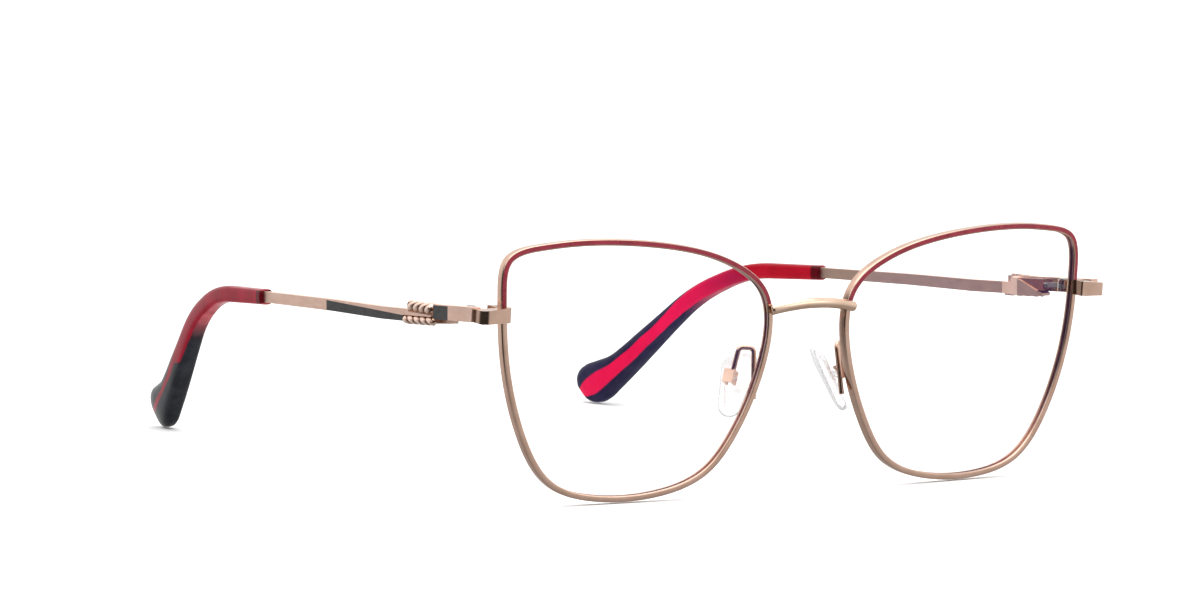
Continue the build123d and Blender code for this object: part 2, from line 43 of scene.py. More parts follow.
# ---------------------------------------------------------------- axes of the front
# The glasses were drawn in the axes of their front, in millimetres, and then stood on their feet.
LEAN = radians(3.49)
STAND_HEIGHT = 25.145
STAND_SETBACK = 65.75
EYE_OFFSET = 38.27
WRAP = radians(3.9)
BASE_RADIUS = 271.0
BUTT = Vector((68.0, 4.9, 8.0))
SLOPE = radians(6.45)
INWARD = radians(4.2)
ALONG = Vector((-sin(INWARD) * cos(SLOPE), cos(INWARD) * cos(SLOPE), -sin(SLOPE)))
OUTWARDS = Vector((cos(INWARD), sin(INWARD), 0))
UPRIGHT = OUTWARDS.cross(ALONG)


def stand(p, side=1.0):
    """A point of the front's axes in millimetres, for one side, in metres where it stands."""
    y = p[1] * cos(LEAN) - p[2] * sin(LEAN) - STAND_SETBACK
    z = p[1] * sin(LEAN) + p[2] * cos(LEAN) + STAND_HEIGHT
    return Vector((p[0] * side, y, z)) * MM


def temple_point(s, h, out):
    """A point s behind the butt joint, h above its middle and out from the temple's middle plane."""
    return BUTT + ALONG * s + UPRIGHT * h + OUTWARDS * out


# ---------------------------------------------------------------- camera
camera_data = bpy.data.cameras.new("camera")
camera = bpy.data.objects.new("camera", camera_data)
bpy.context.collection.objects.link(camera)
camera.location = (-0.68486, -0.94284, 0.13952)
camera.rotation_euler = Euler((radians(84.5231), radians(-1.3638), radians(-35.98999)))
camera_data.sensor_fit = "HORIZONTAL"
camera_data.sensor_width = 36.0
camera_data.lens = 192.402
camera_data.clip_start = 0.01
camera_data.clip_end = 50.0
bpy.context.scene.camera = camera
bpy.context.scene.view_settings.view_transform = "Standard"


# ---------------------------------------------------------------- node helpers
class Shader:
    """A material being built: a principled surface and helpers that add nodes to it."""

    def __init__(self, name):
        self.material = bpy.data.materials.new(name)
        self.material.use_nodes = True
        self.tree = self.material.node_tree
        self.tree.nodes.clear()
        self.out = self.tree.nodes.new("ShaderNodeOutputMaterial")
        self.surface = self.tree.nodes.new("ShaderNodeBsdfPrincipled")
        self.link(self.surface.outputs["BSDF"], self.out.inputs["Surface"])

    def link(self, a, b):
        self.tree.links.new(a, b)

    def set(self, **values):
        for name, value in values.items():
            self.surface.inputs[name.replace("_", " ")].default_value = value

    def coords(self, stretch=(1, 1, 1)):
        where = self.tree.nodes.new("ShaderNodeTexCoord")
        mapping = self.tree.nodes.new("ShaderNodeMapping")
        mapping.inputs["Scale"].default_value = stretch
        self.link(where.outputs["Object"], mapping.inputs["Vector"])
        return mapping.outputs["Vector"]

    def noise(self, scale, detail=3.0, stretch=(1, 1, 1)):
        noise = self.tree.nodes.new("ShaderNodeTexNoise")
        noise.inputs["Scale"].default_value = scale
        noise.inputs["Detail"].default_value = detail
        self.link(self.coords(stretch), noise.inputs["Vector"])
        return noise.outputs["Fac"]

    def attribute(self, name):
        node = self.tree.nodes.new("ShaderNodeAttribute")
        node.attribute_name = name
        return node.outputs["Fac"]

    def ramp(self, factor, *stops):
        ramp = self.tree.nodes.new("ShaderNodeValToRGB")
        elements = ramp.color_ramp.elements
        while len(elements) < len(stops):
            elements.new(0.5)
        for element, (place, colour) in zip(elements, stops):
            element.position = place
            if not isinstance(colour, tuple):
                colour = (colour, colour, colour)
            element.color = (*colour, 1)
        self.link(factor, ramp.inputs["Fac"])
        return ramp.outputs["Color"]

    def math(self, kind, a, b=0.0, c=0.0):
        node = self.tree.nodes.new("ShaderNodeMath")
        node.operation = kind
        for socket, value in zip(node.inputs, (a, b, c)):
            if isinstance(value, (int, float)):
                socket.default_value = value
            else:
                self.link(value, socket)
        return node.outputs[0]

    def smooth(self, value, low, high, start=0.0, end=1.0):
        node = self.tree.nodes.new("ShaderNodeMapRange")
        node.interpolation_type = "SMOOTHSTEP"
        for name, number in (("From Min", low), ("From Max", high), ("To Min", start), ("To Max", end)):
            node.inputs[name].default_value = number
        self.link(value, node.inputs["Value"])
        return node.outputs["Result"]

    def mix(self, factor, a, b):
        node = self.tree.nodes.new("ShaderNodeMix")
        node.data_type = "RGBA"
        node.clamp_factor = True
        for socket, value in ((node.inputs[6], a), (node.inputs[7], b)):
            if isinstance(value, tuple):
                socket.default_value = (*value, 1)
            else:
                self.link(value, socket)
        self.link(factor, node.inputs[0])
        return node.outputs[2]

    def bump(self, height, strength, distance):
        bump = self.tree.nodes.new("ShaderNodeBump")
        bump.inputs["Strength"].default_value = strength
        bump.inputs["Distance"].default_value = distance
        self.link(height, bump.inputs["Height"])
        self.link(bump.outputs["Normal"], self.surface.inputs["Normal"])


def plated_metal(name, light, dark, rough, grain=(1, 1, 1)):
    """A plated metal: its tone drifts a little, and fine rubbing marks roughen it."""
    m = Shader(name)
    m.set(Metallic=1.0, IOR=1.6)
    tone = m.ramp(m.noise(260, 4), (0.3, dark), (0.7, light))
    m.link(tone, m.surface.inputs["Base Color"])
    marks = m.noise(2600, 3, grain)
    m.link(m.ramp(marks, (0.25, rough * 0.8), (0.75, rough * 1.3)), m.surface.inputs["Roughness"])
    m.bump(marks, 0.08, 0.00002)
    return m.material


def enamel(name, light, dark, rough):
    """Cold enamel: a deep colour under a thin clear skin with a faint orange peel."""
    m = Shader(name)
    m.set(IOR=1.45, Coat_Weight=0.12, Coat_Roughness=0.1, Specular_IOR_Level=0.3)
    tone = m.ramp(m.noise(420, 3), (0.3, dark), (0.7, light))
    m.link(tone, m.surface.inputs["Base Color"])
    m.link(m.ramp(m.noise(1800, 2), (0.3, rough * 0.8), (0.7, rough * 1.25)), m.surface.inputs["Roughness"])
    m.bump(m.noise(900, 2), 0.1, 0.00003)
    return m.material


def acetate_material():
    """Polished laminated acetate: a red heart between near-black layers, wider behind the bend."""
    m = Shader("laminated_acetate")
    m.set(IOR=1.45, Roughness=0.16, Specular_IOR_Level=0.12, Coat_Weight=0.04, Coat_Roughness=0.05)
    along = m.attribute("along")
    depth = m.attribute("depth")
    across = m.attribute("across")
    drift = m.math("MULTIPLY_ADD", m.noise(170, 2), 0.24, -0.12)
    place = m.math("ADD", depth, drift)
    red = m.ramp(m.noise(300, 3, (1, 1, 0.4)), (0.3, (0.62, 0.003, 0.030)), (0.7, (0.78, 0.006, 0.046)))
    wine = m.ramp(m.noise(200, 3), (0.3, (0.30, 0.004, 0.012)), (0.7, (0.42, 0.006, 0.020)))
    heart = m.mix(m.smooth(along, 20, 40), wine, red)
    heart = m.mix(m.smooth(along, 1.7, 2.2), (0.085, 0.003, 0.006), heart)
    black = m.ramp(m.noise(350, 4), (0.3, (0.008, 0.009, 0.012)), (0.75, (0.024, 0.025, 0.032)))
    rose = m.ramp(m.noise(350, 4), (0.3, (0.28, 0.03, 0.04)), (0.75, (0.40, 0.08, 0.09)))
    # Towards the sleeve the dark layers thin out to a pinkish edge.
    edge = m.mix(m.smooth(along, 27, 38), rose, black)
    front_edge = m.smooth(along, 28, 60, 0.90, 0.62)
    rear_edge = m.smooth(along, 26, 46, -0.92, -0.30)
    # On the outside the red thins to a stripe: a dark wedge opens in its front half.
    outside = m.smooth(across, -0.2, 0.2)
    deep = m.ramp(m.noise(300, 3, (1, 1, 0.4)), (0.3, (0.17, 0.0015, 0.010)), (0.7, (0.27, 0.002, 0.018)))
    heart = m.mix(m.math("MULTIPLY", outside, m.smooth(along, 1.9, 2.4)), heart, deep)
    wedge_edge = m.math("MULTIPLY_ADD", m.smooth(along, 44.5, 47.5), -0.62, front_edge)
    front_side = m.mix(outside, front_edge, wedge_edge)
    rear_side = m.mix(outside, rear_edge, m.smooth(along, 30, 64, -0.85, -0.28))
    before = m.smooth(m.math("SUBTRACT", front_side, place), -0.03, 0.07)
    behind = m.smooth(m.math("SUBTRACT", place, rear_side), -0.03, 0.07)
    m.link(m.mix(m.math("MULTIPLY", before, behind), edge, heart), m.surface.inputs["Base Color"])
    m.bump(m.noise(500, 2), 0.06, 0.00004)
    return m.material


def silicone_material():
    """Clear soft silicone with a faint milkiness and a satin skin."""
    m = Shader("silicone")
    m.set(IOR=1.36, Transmission_Weight=0.75)
    m.link(m.ramp(m.noise(300, 3), (0.3, (0.86, 0.84, 0.84)), (0.7, (0.97, 0.96, 0.97))),
           m.surface.inputs["Base Color"])
    m.link(m.ramp(m.noise(700, 3), (0.3, 0.18), (0.7, 0.30)), m.surface.inputs["Roughness"])
    m.bump(m.noise(350, 1), 0.05, 0.00003)
    return m.material


def lens_material():
    """A clear coated lens: mostly see-through, with a faint violet residual reflection."""
    m = Shader("lens")
    drift = m.ramp(m.noise(60, 2), (0.3, (0.006, 0.003, 0.024)), (0.7, (0.008, 0.004, 0.034)))
    clear = m.tree.nodes.new("ShaderNodeBsdfTransparent")
    clear.inputs["Color"].default_value = (0.985, 0.99, 0.97, 1)
    gloss = m.tree.nodes.new("ShaderNodeBsdfGlossy")
    gloss.inputs["Roughness"].default_value = 0.03
    m.link(drift, gloss.inputs["Color"])
    both = m.tree.nodes.new("ShaderNodeAddShader")
    m.link(clear.outputs[0], both.inputs[0])
    m.link(gloss.outputs[0], both.inputs[1])
    m.link(both.outputs[0], m.out.inputs["Surface"])
    m.tree.nodes.remove(m.surface)
    return m.material


def rope_metal():
    """Rose gold with painted shade down in the grooves between the strands and a painted highlight on their
    crests.
    """
    m = Shader("rope_gold_painted_groove_shade")
    m.set(Metallic=1.0)
    relief = m.math("ADD", m.attribute("relief"), m.math("MULTIPLY_ADD", m.noise(900, 3), 0.2, -0.1))
    # Painted shade and highlight: the colour runs from near black in the grooves to light on the strand crests.
    m.link(m.ramp(relief, (0.30, (0.10, 0.035, 0.022)), (0.62, (0.72, 0.45, 0.34)), (0.95, (0.95, 0.72, 0.60))),
           m.surface.inputs["Base Color"])
    m.link(m.ramp(m.noise(2000, 3), (0.3, 0.22), (0.7, 0.36)), m.surface.inputs["Roughness"])
    return m.material


ROSE_GOLD = plated_metal("rose_gold", (0.72, 0.49, 0.385), (0.60, 0.395, 0.30), 0.17)
PINK_GOLD = plated_metal("pink_gold", (0.93, 0.66, 0.54), (0.86, 0.59, 0.48), 0.40, (1, 0.2, 1))
# The bridge is the rims' rose gold painted lighter: a painted highlight for the light the bridge catches.
BRIDGE_GOLD_PAINTED_LIGHT = plated_metal("bridge_gold_painted_highlight", (0.88, 0.65, 0.50), (0.76, 0.53, 0.39), 0.18)
ROPE_GOLD_PAINTED_SHADE = rope_metal()
STEEL = plated_metal("steel", (0.66, 0.64, 0.62), (0.52, 0.50, 0.48), 0.30)
BURGUNDY = enamel("burgundy_enamel", (0.27, 0.022, 0.040), (0.19, 0.014, 0.028), 0.28)
CHARCOAL = enamel("charcoal_enamel", (0.026, 0.026, 0.028), (0.017, 0.017, 0.019), 0.40)
ACETATE = acetate_material()
SILICONE = silicone_material()
LENS = lens_material()


# ---------------------------------------------------------------- mesh helpers
def make_piece(name, vertices, faces, materials, body, replaced, marks=None, face_marks=None, flip=False):
    """A smooth mesh piece that rides on a body and stands for some CAD nodes."""
    mesh = bpy.data.meshes.new(name)
    if flip:
        faces = [tuple(reversed(f)) for f in faces]
    mesh.from_pydata([tuple(v) for v in vertices], [], faces)
    for material in materials:
        mesh.materials.append(material)
    if face_marks:
        mesh.polygons.foreach_set("material_index", face_marks)
    for key, values in (marks or {}).items():
        layer = mesh.attributes.new(key, "FLOAT", "POINT")
        layer.data.foreach_set("value", values)
    mesh.shade_smooth()
    mesh.update()
    piece = bpy.data.objects.new(name, mesh)
    bpy.context.collection.objects.link(piece)
    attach(piece, body)
    if replaced:
        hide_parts(*replaced)
    return piece


def rings_to_faces(count, size, closed):
    """Faces between rings of equal size, joined end to start if closed, else capped."""
    faces = []
    last = count if closed else count - 1
    for i in range(last):
        a = i * size
        b = ((i + 1) % count) * size
        for j in range(size):
            k = (j + 1) % size
            faces.append((a + j, b + j, b + k, a + k))
    if not closed:
        faces.append(tuple(range(size)))
        faces.append(tuple(reversed(range((count - 1) * size, count * size))))
    return faces


def periodic_spline(points, count):
    """Points evenly spread along the smooth closed curve through the given ones, with its inward normals."""
    p = np.array(points, float)
    n = len(p)
    h = np.linalg.norm(np.roll(p, -1, 0) - p, axis=1)
    a = np.zeros((n, n))
    rhs = np.zeros((n, 2))
    for i in range(n):
        before, after = h[i - 1], h[i]
        a[i, i - 1] = before
        a[i, i] = 2 * (before + after)
        a[i, (i + 1) % n] = after
        rhs[i] = 6 * ((p[(i + 1) % n] - p[i]) / after - (p[i] - p[i - 1]) / before)
    second = np.linalg.solve(a, rhs)
    dense = []
    steps = 60
    for i in range(n):
        j = (i + 1) % n
        for k in range(steps):
            t = k / steps * h[i]
            r = h[i] - t
            dense.append((second[i] * r**3 + second[j] * t**3) / (6 * h[i])
                         + (p[i] / h[i] - second[i] * h[i] / 6) * r
                         + (p[j] / h[i] - second[j] * h[i] / 6) * t)
    dense = np.array(dense)
    lengths = np.linalg.norm(np.roll(dense, -1, 0) - dense, axis=1)
    run = np.concatenate(([0], np.cumsum(lengths)))
    closed = np.vstack((dense, dense[:1]))
    at = np.arange(count) / count * run[-1]
    even = np.stack([np.interp(at, run, closed[:, k]) for k in (0, 1)], 1)
    ahead = np.roll(even, -1, 0) - np.roll(even, 1, 0)
    ahead /= np.linalg.norm(ahead, axis=1)[:, None]
    return even, np.stack([-ahead[:, 1], ahead[:, 0]], 1)


def lens_plane_point(u, v, back):
    """A point u outwards and v up from the lens centre, this far behind the front dome."""
    radius = BASE_RADIUS - back
    y = sqrt(radius**2 - u * u - v * v) - BASE_RADIUS
    return (EYE_OFFSET + u * cos(WRAP) + y * sin(WRAP), u * sin(WRAP) - y * cos(WRAP), v)


def sweep(points, profiles):
    """Rings of (side, up) pairs, one profile for each point, upright along a line of points."""
    vertices = []
    last = len(points) - 1
    for i, (p, profile) in enumerate(zip(points, profiles)):
        ahead = (points[min(i + 1, last)] - points[max(i - 1, 0)]).normalized()
        side = ahead.cross(Vector((0, 0, 1))).normalized()
        up = side.cross(ahead)
        for a, b in profile:
            vertices.append(p + side * a + up * b)
    return vertices


def circle(radius, size):
    return [(radius * cos(2 * pi * k / size), radius * sin(2 * pi * k / size)) for k in range(size)]


def rounded_route(route, radii, step):
    """Points along straight runs joined by arcs."""
    pts = [Vector(p) for p in route]
    out = []
    start = pts[0]
    for i in range(1, len(pts) - 1):
        a = (pts[i - 1] - pts[i]).normalized()
        b = (pts[i + 1] - pts[i]).normalized()
        angle = a.angle(b)
        radius = radii[i - 1]
        back = radius / tan(angle / 2)
        first = pts[i] + a * back
        centre = pts[i] + (a + b).normalized() * (radius / sin(angle / 2))
        out += straight(start, first, step)
        u = (first - centre) / radius
        w = (pts[i] + b * back - centre) / radius
        turn = u.angle(w)
        steps = max(3, int(turn * radius / step))
        for k in range(steps):
            t = k / steps
            out.append(centre + (u * sin((1 - t) * turn) + w * sin(t * turn)) * (radius / sin(turn)))
        start = pts[i] + b * back
    out += straight(start, pts[-1], step)
    out.append(pts[-1])
    return out


def straight(a, b, step):
    steps = max(1, int((b - a).length / step))
    return [a.lerp(b, k / steps) for k in range(steps)]


# ---------------------------------------------------------------- rims
EYEWIRE = [
    (24.4, 0.0), (25.4, 11.4), (24.4, 17.4), (17.3, 19.9), (13.5, 20.3), (-3.0, 20.1),
    (-12.8, 18.7), (-22.4, 15.6), (-28.7, 10.8), (-28.8, -3.9), (-24.5, -13.8), (-19.1, -20.7),
    (-8.3, -24.7), (4.0, -25.0), (13.5, -22.2), (20.3, -13.2),
]
OUTLINE, INWARDS = periodic_spline(EYEWIRE, 420)

# Round the section of the rim: first number inwards from its outer edge, second back from the front.
RIM_SECTION = [
    (0.0, 1.3), (0.0, 0.3), (0.012, 0.16), (0.06, 0.06), (0.13, 0.025), (0.135, 0.0),
    (0.36, -0.02), (0.62, -0.02),
    (0.86, 0.0), (0.865, 0.03), (0.95, 0.05), (1.04, 0.09), (1.085, 0.16), (1.1, 0.26), (1.1, 0.47),
    (1.07, 0.5), (0.67, 0.52), (0.67, 1.08), (1.07, 1.1), (1.1, 1.13), (1.1, 1.44), (1.06, 1.55), (0.98, 1.6),
    (0.12, 1.6), (0.04, 1.56),
]
FRONT_FACES = (5, 6, 7)


def enamelled(u, v):
    """Whether the front of the rim is enamelled here: from the endpiece over the top to the bridge."""
    return v > 9.4 if u > 0 else v > 8.6


def build_rim(side_name, side):
    vertices = []
    for (x, y), (nx, ny) in zip(OUTLINE, INWARDS):
        for w, d in RIM_SECTION:
            vertices.append(stand(lens_plane_point(x + nx * w, y + ny * w, d), side))
    size = len(RIM_SECTION)
    faces = rings_to_faces(len(OUTLINE), size, True)
    marks = [int(j in FRONT_FACES and enamelled(x, y)) for x, y in OUTLINE for j in range(size)]
    rim = make_piece(f"{side_name}_eyewire", vertices, faces, [ROSE_GOLD, BURGUNDY], "front",
                     [f"{side_name}_rim"], face_marks=marks, flip=side > 0)
    sharpen(rim, 40)


def sharpen(piece, degrees):
    """Keep edges sharper than this crisp under smooth shading."""
    piece.data.set_sharp_from_angle(angle=radians(degrees))


def build_lens(side_name, side):
    edge, bevel_edge = 1.12, 0.69               # inwards from the outside of the rim
    front, bevel_front, bevel_back, back = 0.15, 0.52, 1.08, 1.45
    outline = [(x + nx * edge, y + ny * edge) for (x, y), (nx, ny) in zip(OUTLINE[::2], INWARDS[::2])]
    bevel = [(x + nx * bevel_edge, y + ny * bevel_edge)
             for (x, y), (nx, ny) in zip(OUTLINE[::2], INWARDS[::2])]
    fractions = [0.02, 0.2, 0.4, 0.6, 0.8, 0.93, 1.0]
    rings = [[lens_plane_point(x * f, y * f, front) for x, y in outline] for f in fractions]
    steps = ((outline, bevel_front), (bevel, bevel_front), (bevel, bevel_back), (outline, bevel_back))
    for line, depth in steps:
        rings.append([lens_plane_point(x, y, depth) for x, y in line])
    for f in reversed(fractions):
        rings.append([lens_plane_point(x * f, y * f, back) for x, y in outline])
    vertices = [stand(p, side) for ring in rings for p in ring]
    faces = rings_to_faces(len(rings), len(outline), False)
    lens = make_piece(f"{side_name}_clear_lens", vertices, faces, [LENS], "front",
                      [f"{side_name}_lens"], flip=side > 0)
    sharpen(lens, 40)


# ---------------------------------------------------------------- bridge
def build_bridge():
    half, forward, height, rise, bow, radius = 9.0, 1.0, 7.4, 1.1, 1.0, 0.9
    end_round = 0.1
    size = 36
    points = []
    steps = 48
    for k in range(steps + 1):
        x = (2 * k / steps - 1) * half
        lift = 1 - (x / half) ** 2
        points.append(stand((x, -forward - bow * lift, height + rise * lift)))
    first = points[0].lerp(points[1], 0.25)
    last = points[-1].lerp(points[-2], 0.25)
    points = [points[0], first] + points[1:-1] + [last, points[-1]]
    profiles = [circle(radius * MM, size)] * len(points)
    profiles[0] = profiles[-1] = circle((radius - end_round) * MM, size)
    vertices = sweep(points, profiles)
    faces = rings_to_faces(len(points), size, False)
    bridge = make_piece("bridge_bar", vertices, faces, [BRIDGE_GOLD_PAINTED_LIGHT], "front", ["bridge"])
    sharpen(bridge, 50)


# ---------------------------------------------------------------- ropes
def build_rope(side_name, side, name, start, end, out, radius, turns, lean):
    """A half-round rope of strands wound round a straight core."""
    a = temple_point(*start, out)
    b = temple_point(*end, out)
    length = (b - a).length
    ahead = (b - a).normalized()
    up = OUTWARDS.cross(ahead)
    ring_step, size, strands = 0.05, 56, 2
    groove_depth, groove_power = 0.22, 0.6
    taper_length = 0.45
    rings = int(length / ring_step)
    vertices = []
    relief = []
    for i in range(rings + 1):
        s = i / rings * length
        taper = min(1.0, sqrt(max(0.0, min(s, length - s)) / taper_length) * 0.75 + 0.25)
        for k in range(size):
            angle = 2 * pi * k / size
            phase = strands * angle + lean * 2 * pi * turns * s / length
            groove = abs(sin(phase / 2)) ** groove_power
            r = radius * (1 - groove_depth + groove_depth * groove) * taper
            relief.append(groove)
            x = r * cos(angle)
            y = r * sin(angle)
            depth = max(x, -out * 0.98)
            vertices.append(stand(a + ahead * s + OUTWARDS * depth + up * y, side))
    faces = rings_to_faces(rings + 1, size, False)
    make_piece(f"{side_name}_{name}_twist", vertices, faces, [ROPE_GOLD_PAINTED_SHADE], f"{side_name}_temple",
               [f"{side_name}_{name}"], marks={"relief": relief}, flip=side < 0)


# ---------------------------------------------------------------- temple tips
TIP_ROUTE = [(62.76, 76.25, -0.1), (60.0, 95.8, -2.4), (57.0, 107.1, -8.6), (50.85, 124.8, -27.4),
             (49.2, 128.6, -32.6)]
TIP_RADII = [31.5, 35.0, 60.0]
TIP_END = 66.8
# Length along the tip, its depth, its thickness, and how far its middle is set back from the line.
TIP_SECTIONS = [
    (0.0, 2.8, 2.5, 0.0), (7.0, 2.9, 2.6, 0.0), (13.0, 3.0, 2.75, 0.0), (19.0, 3.1, 2.9, 0.0),
    (25.0, 3.3, 3.1, 0.0), (31.0, 3.6, 3.3, 0.03), (37.0, 3.95, 3.5, 0.08), (43.0, 4.4, 3.7, 0.1),
    (49.0, 5.1, 3.85, 0.1), (53.5, 5.6, 3.9, 0.1), (57.3, 6.3, 3.9, 0.3), (60.0, 7.6, 3.8, 0.95),
    (62.7, 8.9, 3.5, 1.75), (64.7, 8.4, 2.95, 2.3), (66.2, 6.2, 2.2, 2.65), (67.2, 2.8, 1.1, 2.95),
]


def tip_stations():
    """Points and running length at close steps along the tip's middle line."""
    points = rounded_route(TIP_ROUTE, TIP_RADII, 0.4)
    run = [0.0]
    for a, b in zip(points, points[1:]):
        run.append(run[-1] + (b - a).length)
    return points, run


def build_tip(side_name, side):
    points, run = tip_stations()
    total = run[-1]
    table = np.array(TIP_SECTIONS)

    def smooth_at(s, column):
        """A cubic through one column of the section table."""
        x = table[:, 0]
        y = table[:, column]
        i = int(np.clip(np.searchsorted(x, s) - 1, 0, len(x) - 2))
        slope = np.gradient(y, x)
        h = x[i + 1] - x[i]
        t = (s - x[i]) / h
        return float((2 * t**3 - 3 * t**2 + 1) * y[i] + (t**3 - 2 * t**2 + t) * h * slope[i]
                     + (-2 * t**3 + 3 * t**2) * y[i + 1] + (t**3 - t**2) * h * slope[i + 1])

    size = 48
    mouth_round = 0.2
    power = 0.62                                # a rounded oblong, flatter than an ellipse
    vertices, along, depth_marks, across_marks = [], [], [], []
    stops = list(np.concatenate((np.linspace(0, 60, 90), np.linspace(60.3, TIP_END, 26))))
    stops = [0.0, 0.12] + stops[1:]
    for n, s in enumerate(stops):
        at = min(s, total)
        i = int(np.clip(np.searchsorted(run, at) - 1, 0, len(run) - 2))
        p = points[i].lerp(points[i + 1], (at - run[i]) / (run[i + 1] - run[i]))
        low, high = max(i - 2, 0), min(i + 3, len(points) - 1)
        tangent = (points[high] - points[low]).normalized()
        rear = OUTWARDS.cross(tangent).normalized()
        outward = tangent.cross(rear)
        depth, thick, back = smooth_at(s, 1), smooth_at(s, 2), smooth_at(s, 3)
        if n == 0:
            depth, thick = depth - mouth_round, thick - mouth_round
        origin = p + rear * back + tangent * max(s - total, 0)
        for k in range(size):
            angle = 2 * pi * k / size
            c, d = cos(angle), sin(angle)
            x = abs(c) ** power * (1 if c > 0 else -1)
            y = abs(d) ** power * (1 if d > 0 else -1)
            vertices.append(stand(origin + outward * (x * thick / 2) + rear * (y * depth / 2), side))
            along.append(s)
            depth_marks.append(-y)
            across_marks.append(x)
    faces = rings_to_faces(len(stops), size, False)
    tip = make_piece(f"{side_name}_acetate_tip", vertices, faces, [ACETATE], f"{side_name}_temple",
                     [f"{side_name}_temple_tip"],
                     marks={"along": along, "depth": depth_marks, "across": across_marks}, flip=side < 0)
    sharpen(tip, 55)


# ---------------------------------------------------------------- nose pads
PAD_CENTRE = Vector((10.15, 6.3, -6.5))
PAD_UP = Vector((-0.407, 0.265, 0.876)).normalized()
PAD_ACROSS = Vector((sin(radians(25)), cos(radians(25)), 0))
PAD_NORMAL = PAD_UP.cross(PAD_ACROSS).normalized()
PAD_X = PAD_UP.cross(PAD_NORMAL) * -1
PAD_Y = PAD_NORMAL.cross(PAD_X)


def pad_outline(count):
    """The egg outline: a wide circle below and a narrow one above, with their common tangents."""
    low, high, big, small = -3.1, 4.2, 3.4, 2.3
    tilt = asin((big - small) / (high - low))
    pts = []
    half = count // 2
    for k in range(half):
        angle = pi - tilt + (pi + 2 * tilt) * (k + 0.5) / half
        pts.append((big * cos(angle), low + big * sin(angle)))
    for k in range(count - half):
        angle = tilt + (pi - 2 * tilt) * (k + 0.5) / (count - half)
        pts.append((small * cos(angle), high + small * sin(angle)))
    return pts


def build_pad(side_name, side):
    outline = np.array(pad_outline(64))
    # Each layer's scale and its height, from the back of the pad round its edge to the front.
    layers = [(0.05, -0.62), (0.5, -0.72), (0.80, -0.86), (0.93, -0.84), (0.985, -0.62), (1.0, -0.25),
              (0.995, 0.1), (0.965, 0.42), (0.90, 0.66), (0.78, 0.82), (0.5, 0.93), (0.05, 0.95)]
    centre = np.array((0.0, 0.25))
    vertices = []
    for scale, z in layers:
        for x, y in (outline - centre) * scale + centre:
            vertices.append(stand(PAD_CENTRE + PAD_X * x + PAD_Y * y + PAD_NORMAL * z, side))
    faces = rings_to_faces(len(layers), len(outline), False)
    make_piece(f"{side_name}_soft_pad", vertices, faces, [SILICONE], f"{side_name}_pad",
               [f"{side_name}_nose_pad"], flip=side < 0)
    lug_width, lug_height = 0.43, 0.72
    lug = []
    for z in (-2.95, -2.7, -0.7):
        for x, y in circle(1.0, 16):
            lug.append(stand(PAD_CENTRE + PAD_X * (x * lug_width) + PAD_Y * (y * lug_height)
                             + PAD_NORMAL * z, side))
    make_piece(f"{side_name}_pad_lug", lug, rings_to_faces(3, 16, False), [SILICONE], f"{side_name}_pad",
               [], flip=side < 0)


def build_arm(side_name, side):
    route = [(9.75, 1.55, -8.6), (9.1, 3.2, 0.1), (11.3, 4.6, 0.1), (12.0, 4.9, -3.9)]
    bend, wire_radius, size = 0.9, 0.45, 20
    points = [stand(p, side) for p in rounded_route(route, [bend, bend], 0.12)]
    vertices = []
    normal = Vector((0.3, 0.2, 1)).normalized()
    count = len(points)
    for i, p in enumerate(points):
        ahead = (points[min(i + 1, count - 1)] - points[max(i - 1, 0)]).normalized()
        normal = (normal - ahead * normal.dot(ahead)).normalized()
        other = ahead.cross(normal)
        for a, b in circle(wire_radius * MM, size):
            vertices.append(p + normal * a + other * b)
    make_piece(f"{side_name}_arm_wire", vertices, rings_to_faces(count, size, False), [ROSE_GOLD], "front",
               [f"{side_name}_pad_arm"])


# ---------------------------------------------------------------- build the pieces
build_bridge()
for side_name, side in SIDES:
    build_rim(side_name, side)
    build_lens(side_name, side)
    build_rope(side_name, side, "upper_rope", (12.4, 0.36), (20.6, 0.76), 0.35, 0.93, 4.2, 1)
    build_rope(side_name, side, "lower_rope", (12.1, -1.74), (22.4, -1.8), 0.25, 0.75, 4.9, -1)
    build_tip(side_name, side)
    build_pad(side_name, side)
    build_arm(side_name, side)

# ---------------------------------------------------------------- CAD nodes that stay
# The material of each, and the width in millimetres of its softened edges.
KEPT = {
    "endpiece": (ROSE_GOLD, 0.08), "rim_lock_upper": (ROSE_GOLD, 0.05), "rim_lock_lower": (ROSE_GOLD, 0.05),
    "rim_lock_screw": (STEEL, 0.02), "hinge_leaf": (ROSE_GOLD, 0.04), "hinge_screw": (STEEL, 0.02),
    "hinge_tongue": (STEEL, 0.03), "spring_bush": (STEEL, 0), "hinge_spring": (STEEL, 0),
    "temple_front_bar": (PINK_GOLD, 0.06), "front_enamel": (CHARCOAL, 0.02), "hinge_housing": (ROSE_GOLD, 0.08),
    "temple_rear_bar": (PINK_GOLD, 0.05), "rear_enamel": (CHARCOAL, 0.02), "pad_box": (ROSE_GOLD, 0.04),
    "pad_screw": (STEEL, 0.02),
}
for side_name, side in SIDES:
    for name, (material, softness) in KEPT.items():
        node = nodes[f"{side_name}_{name}"]
        for place in node.material_slots:
            place.material = material
        if softness:
            bevel = node.modifiers.new("soft_edges", "BEVEL")
            bevel.width = softness * MM
            bevel.segments = 2
            bevel.limit_method = "ANGLE"
            bevel.angle_limit = radians(35)
            bevel.harden_normals = True

